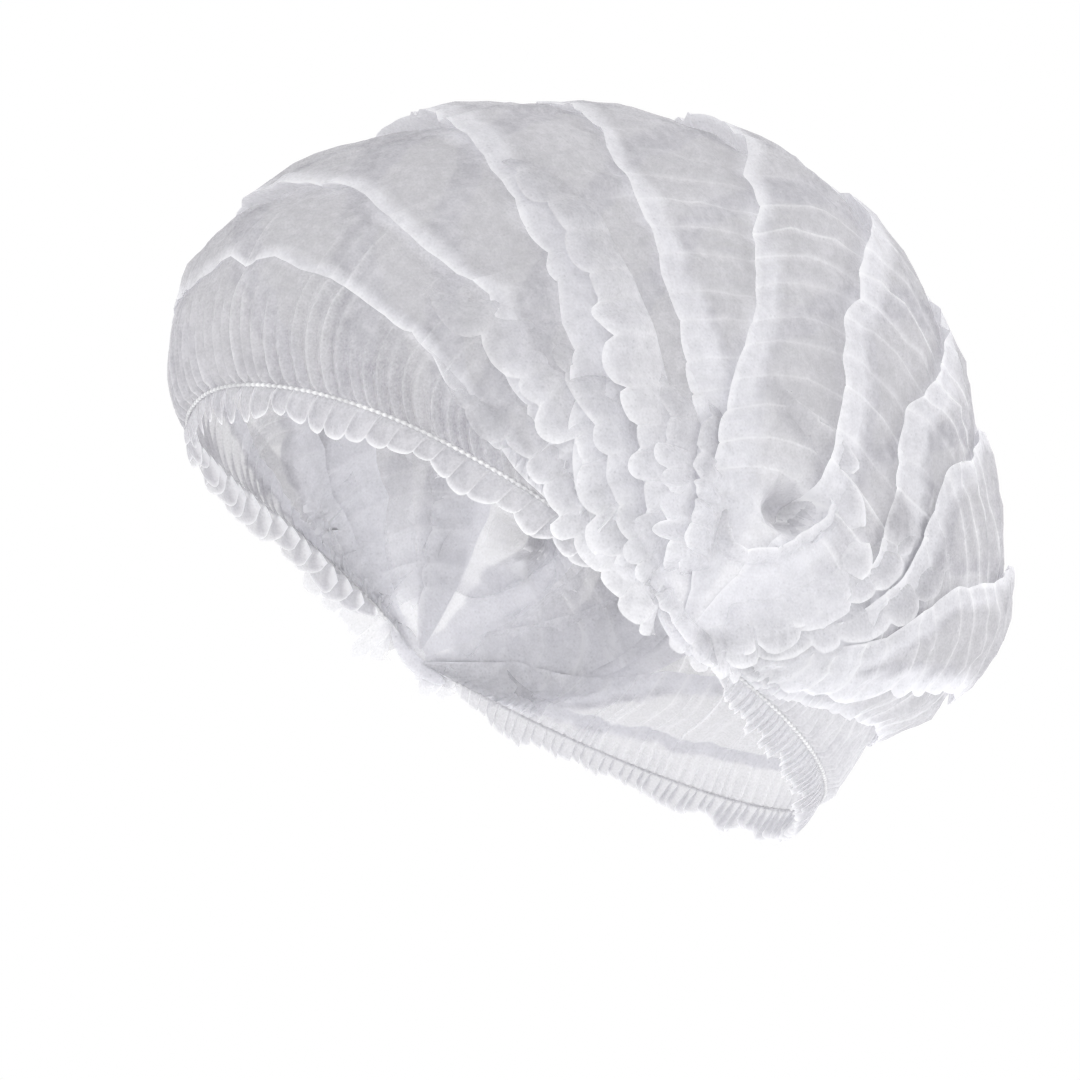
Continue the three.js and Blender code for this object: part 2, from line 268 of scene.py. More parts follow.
# ---------- crown ----------
def earLayer(entry, hand):
    # one scalloped layer of the stacked pleats
    table = np.array(entry["path"], float)
    at = np.linspace(0, 1, len(table))
    fine = np.linspace(0, 1, 400)
    side = smoothTable(at, table[:, 0], fine)
    across = smoothTable(at, table[:, 1], fine)
    if entry.get("corner"):
        trail = cornerLine(hand, side)[0]
    else:
        trail = capPoint(hand * side, across)
    length = np.concatenate([[0], np.cumsum(np.linalg.norm(np.diff(trail, axis=0), axis=1))])
    sizes = [0.0]
    while sizes[-1] < length[-1]:
        smaller = 1 - 0.35 * sizes[-1] / length[-1]              # scallops shrink towards the ear
        sizes.append(sizes[-1] + entry["pitch"] * random.uniform(0.65, 1.4) * smaller)
    petals = len(sizes) - 1
    per, rowCount = 9, 9
    phase = np.linspace(0, petals, petals * per + 1)
    travel = np.interp(phase, np.arange(petals + 1), np.array(sizes) * length[-1] / sizes[-1])
    s = np.interp(travel, length, fine)
    side, across = smoothTable(at, table[:, 0], s), smoothTable(at, table[:, 1], s)
    drift = waves(3, 5.0, 22.0)
    if entry.get("corner"):
        spot = cornerLine(hand, side)[0]
        outward = np.zeros_like(spot) + [hand, 0, 0]
        goal = np.array([hand * 80, earY - 30, earZ - 30])
    else:
        spot = capPoint(hand * side, across + 0.012 * wander(drift, s))
        outward = capFrame(hand * side, across)[2]
        faced = entry.get("toward", (65, -0.3))
        goal = capPoint(hand * faced[0], faced[1])
    ahead = unit(np.gradient(spot, axis=0))
    outward = unit(outward - ahead * np.sum(outward * ahead, -1, keepdims=True))
    openWay = np.cross(outward, ahead)
    openWay = openWay * np.sign(np.sum(openWay * (goal - spot)))
    whole = np.minimum(phase.astype(int), petals - 1)
    part = phase - whole
    bigness = random.uniform(0.3, 1.25, petals)[whole]
    rim = random.uniform(0.45, 1.0, petals)[whole] * (0.35 + 0.65 * ease(0.1, 0.5, s))
    puffy = random.uniform(0.3, 1.4, petals)[whole]
    tilt = random.uniform(-0.8, 1.4, petals)[whole]
    skewed = part ** random.uniform(0.8, 1.3, petals)[whole]
    arch = np.abs(np.sin(math.pi * skewed)) ** 0.5
    fade = ease(0, 0.32, s) * (1 - ease(0.9, 1, s))
    slow = waves(3, 3.0, 14.0)
    rimHighlightRows = (0, 0, 0, 0, 0, 0, 0.1, 0.35, 0.95)            # painted highlight: how bright each row is painted, up to the free edge
    points, marks = [], []
    for j in range(rowCount):
        t = j / (rowCount - 1)
        reach = -entry["wide"] + t * (entry["wide"] + entry["petal"] * bigness * (0.3 + 0.7 * arch))
        rounded = 0.35 + 0.65 * (1 - (1 - t) ** 2)
        height = entry["rise"] * (1 + 0.2 * wander(slow, s * 6)) * rounded - (1 - t)
        height = (height + 0.7 * puffy * arch * math.sin(math.pi * t ** 0.8) - 0.9 * (1 - arch) * t
                  + tilt * (part - 0.5) * t)
        reach, height = reach * (0.03 + 0.97 * fade), height * fade + 1 - fade
        points.append(spot + openWay * reach[:, None] + outward * height[:, None])
        # painted highlight along each petal's rim
        marks.append(rim * ease(0.1, 0.6, fade) * rimHighlightRows[j])
    points = np.stack(points, 1)
    columns = points.shape[0]
    faces = np.array(gridFaces(columns, rowCount))
    a, b, c = (points.reshape(-1, 3)[faces[len(faces) // 2, n]] for n in range(3))
    if np.dot(np.cross(b - a, c - a), outward[columns // 2]) < 0:
        faces = faces[:, ::-1]
    uvs = np.stack([np.repeat(travel, rowCount) * mm, np.tile(np.arange(rowCount) * 2.0 * mm, columns)], -1)
    # painted highlight on the pinches between the scallops
    crimp = np.repeat((1 - arch)[:, None], rowCount, 1) * 0.35
    stack = np.repeat(0.25 + 0.65 * ease(0.15, 0.6, s), rowCount)
    veil = np.repeat(entry["veil"] + 0.9 * (1 - ease(0.05, 0.5, fade)), rowCount)
    return points.reshape(-1, 3), faces, uvs, {"crimp": crimp.ravel(), "edge": np.stack(marks, 1).ravel(),
                                               "stack": stack, "veil": veil}


def cornerLine(hand, u):
    # along the corner of the opening, from the nape edge to the front edge as u goes from -1 to 1
    size = endTab
    toFront, toBack = (np.array([0, math.cos(math.radians(a)), math.sin(math.radians(a))])
                       for a in (size["frontAngle"], size["backAngle"]))
    u = np.asarray(u, float)[..., None]
    turn = np.sqrt(u * u + size["softness"])
    middle = np.array([hand * (capForm["earX"] + 0.6), earY, earZ])
    straight, bend = 0.5 * (toFront - toBack), 0.5 * (toFront + toBack)
    centre = middle + size["arm"] * (straight * u + bend * (turn - math.sqrt(size["softness"])))
    return centre, unit(straight + bend * u / turn)


def crumpleWaves(count):
    made = []
    for _ in range(count):
        wavelength, turn = random.uniform(16, 46), random.uniform(0, math.pi)
        made.append((2 * math.pi / wavelength * math.cos(turn), 2 * math.pi / wavelength * math.sin(turn),
                     random.uniform(0, 6.28), random.uniform(0.4, 1.0)))
    return made


def crumple(parts, x, y):
    # sharp crossing ridges, as in cloth that has been crushed
    total = 0
    for kx, ky, turn, strength in parts:
        warp = 0.9 * np.sin(0.6 * (ky * x - kx * y) + 2 * turn)
        total = total + strength * (0.64 - np.abs(np.sin(kx * x + ky * y + turn + warp)))
    return total / sum(p[3] for p in parts) * 2


def makeCrown():
    size = crownSize
    creases, per = size["creases"], size["samplesPerCrease"]
    phases = np.array([0, 0.06, 0.25, 0.44, 0.5, 0.56, 0.75, 0.94])
    columnPhase = (np.arange(creases)[:, None] + phases[None, :]).ravel()
    columnPhase = np.append(columnPhase, creases)
    jitter = random.uniform(-0.16, 0.16, creases + 1)
    jitter[[0, -1]] = 0
    placed = np.interp(columnPhase, np.arange(creases + 1), np.arange(creases + 1) + jitter)
    alongCloth = placed / creases * 2 - 1                     # -1 right ear, 1 left ear
    within = columnPhase - np.floor(columnPhase)
    within[-1] = 0
    arch = np.abs(np.sin(math.pi * within))                   # 0 on a crimp, 1 between
    onCrimp = np.exp(-(np.minimum(within, 1 - within) / 0.065) ** 2)
    onGather = np.maximum(onCrimp, 0.85 * np.exp(-((within - 0.5) / 0.065) ** 2))
    crimpSize = np.repeat(random.uniform(0.35, 1.0, creases), per)
    crimpSize = np.append(crimpSize, 0.5)
    streakSize = np.append(np.repeat(random.uniform(0.35, 1.0, creases * 2), per // 2), 0.5)
    streakReach = np.append(np.repeat(random.choice([0.03, 0.05, 0.09, 0.14], creases * 2), per // 2), 0.05)
    evenly, angles, length = sideTable(0.4, 88.6)
    edgeEvenly, edgeAngles, _ = sideTable(0.02, 88.6)
    halfTurn = np.radians(firstAngle - lastAngle)

    def petalArch():
        # scallops of one fold: some span two crimps, and each has its own size
        knots = [0]
        while knots[-1] < creases:
            knots.append(min(creases, knots[-1] + int(random.choice([1, 1, 1, 2]))))
        phase = np.interp(columnPhase, knots, np.arange(len(knots)))
        sizes = random.uniform(0.35, 1.35, len(knots))
        whole = np.minimum(phase.astype(int), len(knots) - 2)
        skew = random.uniform(0.75, 1.35, len(knots))[whole]
        part = np.clip(phase - whole, 0, 1) ** skew
        return np.abs(np.sin(math.pi * part)) ** 0.8 * sizes[whole]

    petalArches = [petalArch() for _ in pleats]
    foldWaves = [waves(3, 1.5, 6.0) for _ in pleats]
    kinks = [random.uniform(-1, 1, creases + 1) for _ in pleats]
    widthWaves = [waves(3, 2.0, 8.0) for _ in pleats]
    liftWaves = [waves(3, 2.0, 9.0) for _ in pleats]
    lean = random.uniform(-1.0, 1.0, len(pleats) + 1)
    lean[1::2] = -np.abs(lean[1::2]) - 0.2
    lean[::2] = np.abs(lean[::2]) + 0.2
    dentWaves = [(waves(3, 2.0, 7.0), waves(3, 3.0, 12.0)) for _ in range(3)]
    slant = size["slants"]

    crushed = crumpleWaves(9)
    crimpReach = [np.append(np.repeat(random.choice([0.2, 0.35, 0.6, 1.2, 1.6], creases), per), 0.2)
                  for _ in range(len(pleats) + 1)]

    def sideOf(along):
        return np.interp(along, evenly, angles)

    side0 = sideOf(alongCloth)
    opened = np.cos(np.radians(side0))
    run = size["meanReach"] * np.maximum(opened, 0.02) * halfTurn
    margin = np.minimum(0.2, size["edgeKeep"] / run)

    def foldPlace(k):
        p = pleats[k]
        earward = ease(48, 82, np.abs(side0))
        if p["draw"] > 0.5:
            earward = 0.45 * earward + 0.55 * ease(72, 84, np.abs(side0))
        if p["draw"] >= 0:
            place = p["across"] ** (1 + p["draw"] * earward)
        else:
            place = p["across"] - (1 - p["across"]) * p["draw"] * earward
        place = place + 0.017 * wander(foldWaves[k], alongCloth) * (0.3 + 0.7 * opened)
        place = place + 0.008 * np.interp(columnPhase, np.arange(creases + 1), kinks[k]) * opened
        grow = 1 - opened
        width = p["wide"] * (size["overlapTop"] + (size["overlapEar"] - size["overlapTop"]) * grow ** 1.5)
        width *= 1 + 0.45 * wander(widthWaves[k], alongCloth)
        width = width / run
        width = np.minimum(width, size["widestFold"])
        return place, np.maximum(width, 0.004)

    places = [foldPlace(k) for k in range(len(pleats))]
    rows = []

    def foldLift(k):
        lift = pleats[k]["step"] * size["foldLift"] * (1 + 0.4 * wander(liftWaves[k], alongCloth))
        lift = lift * (0.25 + 0.75 * ease(0.04, 0.45, opened))
        return lift * (0.15 + 0.85 * ease(0.2, 0.62, opened)) if k < 4 else lift

    def panel(k):
        # from the free edge of the fold in front to the hidden edge of the fold behind
        start, end = margin, 1 - margin
        startLift = endLift = np.zeros_like(side0)
        if k:
            place, width = places[k - 1]
            start = place - width / 2
            if pleats[k - 1]["faces"] > 0:
                startLift = foldLift(k - 1)
        if k < len(pleats):
            place, width = places[k]
            end = place + width / 2
            if pleats[k]["faces"] < 0:
                endLift = foldLift(k)
        return np.clip(start, margin, 1 - margin), np.clip(end, margin, 1 - margin), startLift, endLift

    cloth = 0.0
    petalShare = ease(0.05, 0.5, 1 - opened)
    for k in range(len(pleats) + 1):
        start, end, startLift, endLift = panel(k)
        forward = k > 0 and pleats[k - 1]["faces"] > 0       # free edge at the panel's start
        rearward = k < len(pleats) and pleats[k]["faces"] < 0  # free edge at its end
        steps = np.linspace(0, 1, size["panelRows"])
        steps = steps ** 1.25
        for u in steps:
            across = start + (end - start) * u
            frontPull = 1 - ease(0.01, 0.12, across)
            backPull = ease(0.9, 1.0, across)
            pull = np.maximum(frontPull, backPull)
            height = (startLift * (1 - u) ** 1.5 + endLift * u ** 1.5) * (1 - 0.7 * pull)
            height = height + 1.6 * math.sin(math.pi * u) * (0.3 + opened) * (1 - pull)
            shift = np.zeros_like(side0)
            for atEdge, n, reach, way in ((forward, k - 1, 1 - u, -1), (rearward, k, u, 1)):
                if atEdge:
                    petal = pleats[n]["petal"] * size["petal"] * petalShare
                    shift = shift + way * petal * (petalArches[n] - 0.4) * reach ** 3
                    height = height + 0.4 * petal * petalArches[n] * reach ** 2
            free = 1.0 if (u == 0 and forward) or (u == 1 and rearward) else 0.0
            stack = np.zeros_like(side0)
            if k:
                covered = places[k - 1][1] / np.maximum(end - start, 1e-4)
                stack = np.maximum(stack, 1 - ease(0.75, 1.0, u / np.maximum(covered, 1e-3)))
            if k < len(pleats):
                covered = places[k][1] / np.maximum(end - start, 1e-4)
                stack = np.maximum(stack, 1 - ease(0.75, 1.0, (1 - u) / np.maximum(covered, 1e-3)))
            fade = np.exp(-(u / crimpReach[k]) ** 2)
            if k >= 3:
                fade = 0.65 + 0.35 * fade
            rows.append({"across": across, "height": height, "shift": shift, "stack": stack, "fade": fade,
                         "lean": lean[k] * (u - 0.5), "slant": slant[k] * (u - 0.5), "edge": free,
                         "cloth": cloth + size["panelCloth"] * u, "pull": pull})
        cloth += size["panelCloth"]
        if k == len(pleats):
            break
        nextStart = panel(k + 1)[0]
        lift = foldLift(k)
        pull = rows[-1]["pull"]
        petal = pleats[k]["petal"] * size["petal"] * petalShare
        faces = pleats[k]["faces"]
        for n in range(1, size["foldRows"] + 1):
            u = n / (size["foldRows"] + 1)
            across = end + (nextStart - end) * u
            near = u if faces > 0 else 1 - u
            shift = -faces * petal * (petalArches[k] - 0.4) * near ** 3
            height = (lift * (1 - 0.7 * pull) + 0.4 * petal * petalArches[k]) * (0.12 + 0.76 * near)
            rows.append({"across": across, "height": height, "shift": shift, "stack": np.ones_like(side0),
                         "lean": lean[k] * 0.5 + (-lean[k + 1] * 0.5 - lean[k] * 0.5) * u,
                         "slant": slant[k] * 0.5 + (-slant[k + 1] * 0.5 - slant[k] * 0.5) * u,
                         "edge": 0.0, "cloth": cloth + size["foldCloth"] * u, "pull": pull,
                         "fade": np.ones_like(side0)})
        cloth += size["foldCloth"]

    points, uvs, crimpHighlightMark, edgeHighlightMark, stackMark = [], [], [], [], []
    edgeWaves = waves(4, 2.0, 9.0)
    pitch = length / creases
    earward = ease(58, 74, np.abs(side0)) * (1 - ease(85, 88.4, np.abs(side0)))
    pocket = size["pocket"]
    hollow = capPoint(pocket["side"], pocket["across"])
    for row in rows:
        flat = np.sign(side0) * ease(8, 40, np.abs(side0)) * (1 - ease(70, 82, np.abs(side0)))
        skewed = row["lean"] * opened - row["slant"] * flat
        along = alongCloth + skewed * 2 * pitch / length * (1 - row["pull"])
        along = np.clip(along, -1, 1)
        pull = row["pull"]
        side = sideOf(along) * (1 - pull) + np.interp(along, edgeEvenly, edgeAngles) * pull
        across = row["across"]
        toFront = np.exp(-((across - 0.085) / 0.05) ** 2) * earward
        toBack = np.exp(-((across - 0.915) / 0.05) ** 2) * earward
        inner = ease(0, 0.02, across - margin) * ease(0, 0.02, 1 - margin - across)
        across = across + (row["shift"] / run) * inner - size["overhangFront"] * toFront
        height = row["height"] - size["sink"] * ease(0.1, 0.5, opened) * (1 - pull)
        height = height + 1.5 * toFront + 1.5 * toBack
        height = height + size["pillow"] * arch * ease(0.02, 0.3, opened) * (1 - pull)
        crisp = onCrimp * crimpSize * ease(12, 42, np.abs(side)) * (0.15 + 0.85 * ease(0.26, 0.36, across))
        crisp = crisp * (1 - pull) * row["fade"] * (1 - 0.85 * ease(75, 79, np.abs(side)))
        height = height + size["ridge"] * crisp * ease(0.05, 0.3, opened)
        inset = np.minimum(across, (1 - across) * 1.2)
        streak = onGather * streakSize * np.exp(-(inset / streakReach) ** 2)
        flute = 0.5 + 0.5 * np.cos(4 * math.pi * within)
        puckers = 0.5 * flute * np.exp(-(inset / 0.04) ** 2) + 0.35 * streak
        height = height + size["gather"] * puckers * ease(0.03, 0.2, opened)
        for alongWaves, acrossWaves in dentWaves:
            dented = size["dent"] / 3 * wander(alongWaves, along * 3) * wander(acrossWaves, across * 3)
            height = height + dented * ease(0.1, 0.5, opened) * (1 - pull)
        crushedHere = crumple(crushed, along * length / 2, across * 330)
        height = height + size["crumple"] * crushedHere * ease(0.05, 0.3, opened) * (1 - 0.8 * pull)
        height = height + size["puff"] * ease(0.05, 0.3, opened) * (1 - ease(0.35, 0.8, opened)) * (1 - pull)
        height = height * ease(0.0, 0.08, opened) * ease(0, 0.008, across - margin + 0.002)
        height = height * ease(0, 0.008, 1 - margin - across + 0.002)
        _, _, outward = capFrame(side, across)
        place = capPoint(side, across)
        squash = [1, 1, pocket["squash"]]
        away = np.minimum(*(np.linalg.norm((place - hollow * [hand, 1, 1]) * squash, axis=-1)
                            for hand in (1, -1)))
        rim = np.exp(-((away - 1.45 * pocket["radius"]) / 3.2) ** 2)
        height = height * (1 - 0.7 * np.exp(-(away / (1.7 * pocket["radius"])) ** 6))
        height = height - pocket["deep"] * np.exp(-(away / pocket["radius"]) ** 3) + pocket["lip"] * rim
        points.append(place + outward * height[:, None])
        dense = 0.9 * ease(0.6, 0.82, 1 - opened) + 0.6 * ease(0.82, 0.93, across)
        layered = row["stack"] * (0.8 + 0.2 * ease(0.3, 0.8, 1 - opened)) + dense
        for patchSide, patchAcross, radius in size["thinPatches"]:
            spot = capPoint(np.sign(side) * patchSide, np.full_like(side, patchAcross))
            far = np.linalg.norm(place - spot, axis=-1) / radius
            layered = layered * (1 - 0.9 * np.exp(-far ** 4))
        stackMark.append(np.clip(layered, 0, 1))
        uvs.append(np.stack([alongCloth * size["stripLength"], np.full_like(side, row["cloth"])], -1) * mm)
        # painted highlight: the crimp ridges and the gather streaks by the elastic are painted bright, and
        # made more opaque
        crimpHighlightShare = 0.9 + 0.25 * ease(0.4, 0.6, row["across"])
        crimpHighlightMark.append(np.clip(crimpHighlightShare * crisp + 0.8 * streak, 0, 1))
        # painted highlight along the free edges of the folds, where the doubled cloth is also more opaque,
        # and a painted highlight ring around the pocket's edge
        pocketEdgeHighlight = 0.4 * np.exp(-((away - 1.0 * pocket["radius"]) / 0.9) ** 2)
        edgeHighlightMark.append(np.maximum(row["edge"] * (0.5 + 0.3 * wander(edgeWaves, along * 8)), pocketEdgeHighlight))
    points = np.stack(points, 1)
    uvs = np.stack(uvs, 1).reshape(-1, 2)
    marks = {"crimp": np.stack(crimpHighlightMark, 1).ravel(), "edge": np.stack(edgeHighlightMark, 1).ravel(),
             "stack": np.stack(stackMark, 1).ravel()}
    marks["veil"] = np.zeros(len(uvs))
    columns, rowCount = points.shape[:2]
    faces = gridFaces(columns, rowCount)
    points = points.reshape(-1, 3)
    for hand in (1, -1):
        for entry in earLayers:
            more, moreFaces, moreUvs, moreMarks = earLayer(entry, hand)
            faces += (moreFaces + len(points)).tolist()
            points = np.concatenate([points, more])
            uvs = np.concatenate([uvs, moreUvs])
            for mark, extra in moreMarks.items():
                marks[mark] = np.concatenate([marks[mark], extra])
    piece = makeSheet("crown_cloth", points, faces, uvs, marks)
    smoothByAngle(piece, 50)
    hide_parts("crown")
    area = sum(p.area for p in piece.data.polygons)
    print("crown made:", columns, "by", rowCount, "area", round(area, 4), "m2", 2 * len(faces), "triangles")
    return piece


# ---------- the two edges ----------
# "rim" and "wall": strength and width of the painted highlight along each tongue's folded sides
edges = {
    "front": {"across": 0.0, "depth": 9.5, "loops": 42, "wave": 2.0, "lean": 2.6, "bulb": 1.3, "spread": 0.5,
              "flare": 0.14, "notch": 0.35, "stack": 0.3, "rim": 1.0, "wall": 0.16, "stretch": 80,
              "elasticStretch": 83.0, "elasticWidth": 1.15, "uneven": 0.4},
    "back": {"across": 1.0, "depth": 10.5, "loops": 74, "wave": 1.25, "lean": 1.0, "bulb": 1.3,
             "spread": 0.25, "flare": 0.05, "notch": 0.9, "stack": 0.6, "rim": 0.3, "wall": 0.12,
             "stretch": 79,
             "elasticStretch": 81.0, "elasticWidth": 1.1, "uneven": 0.3},
}


def edgeFrame(side, across):
    _, rearward, outward = capFrame(side, across)
    along = unit(capPoint(side + 0.3, across) - capPoint(side - 0.3, across))
    down = rearward * (-1 if across == 0 else 1)
    down = unit(down - along * np.sum(down * along, -1, keepdims=True))
    out = unit(np.cross(along, down))
    out = out * np.sign(np.sum(out * outward, -1, keepdims=True))
    return capPoint(side, across), along, down, out


def makeRuffle(which):
    size = edges[which]
    perLoop, depthRows = 12, 9
    loops = size["loops"]
    evenly, angles, length = sideTable(size["across"], size["stretch"])
    phase = np.linspace(0, loops, loops * perLoop + 1)
    knots = np.arange(loops + 1) + np.concatenate([[0], random.uniform(-0.18, 0.18, loops - 1), [0]])
    place = np.interp(phase, np.arange(loops + 1), knots)
    side = np.interp(place / loops * 2 - 1, evenly, angles)
    within = phase - np.floor(phase)
    deep = np.interp(phase, np.arange(loops + 1), 1 + size["uneven"] * random.uniform(-0.9, 0.7, loops + 1))
    swing = np.interp(phase, np.arange(loops + 1), random.uniform(0.6, 1.25, loops + 1))
    ends = ease(0, 0.06, np.minimum(place / loops, 1 - place / loops))
    point, along, down, out = edgeFrame(side, size["across"])
    first = size["elasticWidth"] / 2 * 0.3
    columns, rows = len(phase), depthRows + 1
    points = np.zeros((columns, rows, 3))
    uvs = np.zeros((columns, rows, 2))
    edgeHighlightMark = np.zeros((columns, rows))
    arch = np.sqrt(np.clip(1 - np.abs(2 * within - 1) ** 3, 0, 1))       # 0 where two tongues meet
    for j in range(rows):
        v = j / depthRows
        full = size["depth"] * deep * (0.35 + 0.65 * ends)
        depth = first + v * (full * (size["notch"] + (1 - size["notch"]) * arch) - first)
        grow = v ** 0.6
        bulge = size["bulb"] * arch * math.sin(math.pi * v ** 0.8)
        offset = (size["wave"] * swing * grow * (2 * within - 1) + bulge) * ends
        drift = -size["lean"] * v * (1 if which == "front" else np.sign(place - loops / 2))
        drift = drift + size["spread"] * length / loops * (within - 0.5) * grow * ends
        points[:, j] = (point + down * depth[:, None] + along * drift[:, None]
                        + out * (offset + depth * size["flare"] - 0.3 * (1 - v))[:, None])
        uvs[:, j, 0] = phase * 14 * mm
        uvs[:, j, 1] = (0.5 + v * 0.02)
        # painted highlight along the folded sides of each tongue and along its free edge
        rim = np.clip(1 - np.minimum(within, 1 - within) / size["wall"], 0, 1) * ease(0.0, 0.3, v)
        edgeHighlightMark[:, j] = np.maximum({depthRows: 0.95, depthRows - 1: 0.35}.get(j, 0.0), size["rim"] * rim)
    # painted highlight on the pinches where two tongues meet
    crimp = np.repeat((1 - arch)[:, None] ** 2, rows, 1) * 0.5
    faces = gridFaces(columns, rows)
    if which == "front":
        faces = [f[::-1] for f in faces]
    marks = {"crimp": crimp.ravel(), "edge": edgeHighlightMark.ravel(),
             "stack": np.full(columns * rows, size["stack"])}
    piece = makeSheet("ruffle_" + which + "_cloth", points.reshape(-1, 3), faces, uvs.reshape(-1, 2),
                      marks)
    smoothByAngle(piece, 60)
    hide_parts("ruffle_" + which)
    area = sum(p.area for p in piece.data.polygons)
    print(which, "ruffle made:", loops, "loops along", round(length), "mm, area", round(area, 5))
    return piece


def makeElastic(which):
    size = edges[which]
    evenly, angles, length = sideTable(size["across"], size["elasticStretch"])
    stitch, around, perStitch = 1.9, 10, 5
    count = int(length / stitch) * perStitch + 1
    place = np.linspace(-1, 1, count)
    side = np.interp(place, evenly, angles)
    point, along, down, out = edgeFrame(side, size["across"])
    turn = np.linspace(0, 2 * math.pi, around, endpoint=False)
    travel = place * length / 2
    bulge = 0.84 + 0.2 * np.cos(2 * math.pi * travel[:, None] / stitch + 1.0 * np.sin(turn)[None, :])
    width = size["elasticWidth"] / 2
    taper = ease(0, 0.012, (1 - np.abs(place)))[:, None] * 0.6 + 0.4
    points = (point[:, None] + down[:, None] * (width * bulge * taper * np.cos(turn)[None])[..., None]
              + out[:, None] * (0.75 * width * bulge * taper * np.sin(turn)[None] + 0.35)[..., None])
    faces = []
    for i in range(count - 1):
        for k in range(around):
            a, b = i * around + k, i * around + (k + 1) % around
            faces.append([a, b, b + around, a + around])
    faces.append(list(range(around))[::-1])
    faces.append([(count - 1) * around + k for k in range(around)])
    mesh = bpy.data.meshes.new("elastic")
    mesh.from_pydata((points.reshape(-1, 3) * mm).tolist(), [], faces)
    mesh.update()
    thread = 0.5 + 0.5 * np.cos(2 * math.pi * travel[:, None] / stitch + 1.0 * np.sin(turn)[None, :])
    loose = np.interp(travel, np.linspace(-length, length, 90), random.uniform(0.35, 1.0, 90))
    stitchMark = mesh.attributes.new("stitch", "FLOAT", "POINT")
    stitchMark.data.foreach_set("value", (thread * loose[:, None]).astype(np.float32).ravel())
    piece = bpy.data.objects.new("elastic_" + which + "_cord", mesh)
    bpy.context.scene.collection.objects.link(piece)
    faceOutward(piece)
    bpy.ops.object.shade_smooth()
    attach(piece, "root")
    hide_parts("elastic_" + which)
    print(which, "elastic made,", round(length), "mm long")
    return piece


def makeEndTab(sideName, hand):
    # the stacked pleats, sealed flat along the corner of the opening: a few leaves that part a little
    size = endTab
    out = np.array([hand, 0, 0])
    steps, around = 48, 22
    points, faces = [], []
    for i in range(steps + 1):
        u = 2 * i / steps - 1
        centre, along = cornerLine(hand, u)
        wide = np.array([0, -along[2], along[1]])
        body = math.sqrt(max(0.02, 1 - abs(u) ** 2.6))
        for k in range(around):
            spin = 2 * math.pi * k / around
            c, d = math.cos(spin), math.sin(spin)
            flat = math.copysign(abs(c) ** 0.7, c)
            rib = 1 + 0.12 * math.cos(size["leaves"] * math.pi * c) + 0.05 * math.sin(i * math.pi / 1.5)
            raised = size["thick"] / 2 * (0.35 + 0.65 * body) * d * rib + size["bow"] * (1 - u * u)
            points.append(centre + wide * (size["width"] / 2 * body * flat) + out * raised)
    for i in range(steps):
        for k in range(around):
            a, b = i * around + k, i * around + (k + 1) % around
            faces.append([a, b, b + around, a + around])
    faces.append(list(range(around)))
    faces.append([steps * around + k for k in range(around)])
    points = np.array(points)
    uvs = np.stack([points[:, 1], points[:, 2]], -1) * mm
    count = len(points)
    marks = {"crimp": np.zeros(count), "edge": np.zeros(count), "stack": np.ones(count)}
    piece = makeSheet("end_tab_" + sideName, points, faces, uvs, marks)
    faceOutward(piece)
    smoothByAngle(piece, 60)
    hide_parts("end_weld_" + sideName)
    print(sideName, "end tab made")
    return piece


# ---------- materials ----------
class Sock:
    # one socket, so that shader sums read as plain sums
    def __init__(self, tree, out):
        self.tree, self.out = tree, out

    def math(self, operation, a, b=None):
        node = self.tree.nodes.new("ShaderNodeMath")
        node.operation = operation
        for n, value in enumerate((a, b)):
            if value is None:
                continue
            if isinstance(value, Sock):
                self.tree.links.new(value.out, node.inputs[n])
            else:
                node.inputs[n].default_value = value
        return Sock(self.tree, node.outputs[0])

    def __add__(self, other):
        return self.math("ADD", self, other)

    def __radd__(self, other):
        return self.math("ADD", other, self)

    def __sub__(self, other):
        return self.math("SUBTRACT", self, other)

    def __rsub__(self, other):
        return self.math("SUBTRACT", other, self)

    def __mul__(self, other):
        return self.math("MULTIPLY", self, other)

    def __rmul__(self, other):
        return self.math("MULTIPLY", other, self)


class Finish:
    def __init__(self, name):
        self.material = bpy.data.materials.new(name)
        self.material.use_nodes = True
        self.tree = self.material.node_tree
        self.shader = self.tree.nodes["Principled BSDF"]

    def node(self, kind, settings=None, inputs=None, output=0):
        made = self.tree.nodes.new(kind)
        for key, value in (settings or {}).items():
            setattr(made, key, value)
        for key, value in (inputs or {}).items():
            if isinstance(value, Sock):
                self.tree.links.new(value.out, made.inputs[key])
            else:
                made.inputs[key].default_value = value
        return Sock(self.tree, made.outputs[output])

    def clamp(self, value, low, high):
        return self.spread(value, low, high, low, high)

    def spread(self, value, low, high, newLow, newHigh):
        return self.node("ShaderNodeMapRange", {"clamp": True},
                         {"Value": value, "From Min": low, "From Max": high,
                          "To Min": newLow, "To Max": newHigh})

    def mix(self, share, first, second):
        return self.node("ShaderNodeMix", {"data_type": "RGBA"}, {0: share, 6: first, 7: second}, output=2)

    def feed(self, **sockets):
        names = {"baseColor": "Base Color", "roughness": "Roughness", "alpha": "Alpha", "normal": "Normal"}
        for key, value in sockets.items():
            self.tree.links.new(value.out, self.shader.inputs[names[key]])

    def letThrough(self, share, colour, alpha):
        # light from behind glows through the cloth
        glow = self.node("ShaderNodeBsdfTranslucent", None, {"Color": colour})
        clear = self.node("ShaderNodeBsdfTransparent")
        thin = self.node("ShaderNodeMixShader", None, {0: alpha, 1: clear, 2: glow})
        solid = Sock(self.tree, self.shader.outputs[0])
        both = self.node("ShaderNodeMixShader", None, {0: share, 1: solid, 2: thin})
        surface = [n for n in self.tree.nodes if n.type == "OUTPUT_MATERIAL"][0].inputs["Surface"]
        self.tree.links.new(both.out, surface)


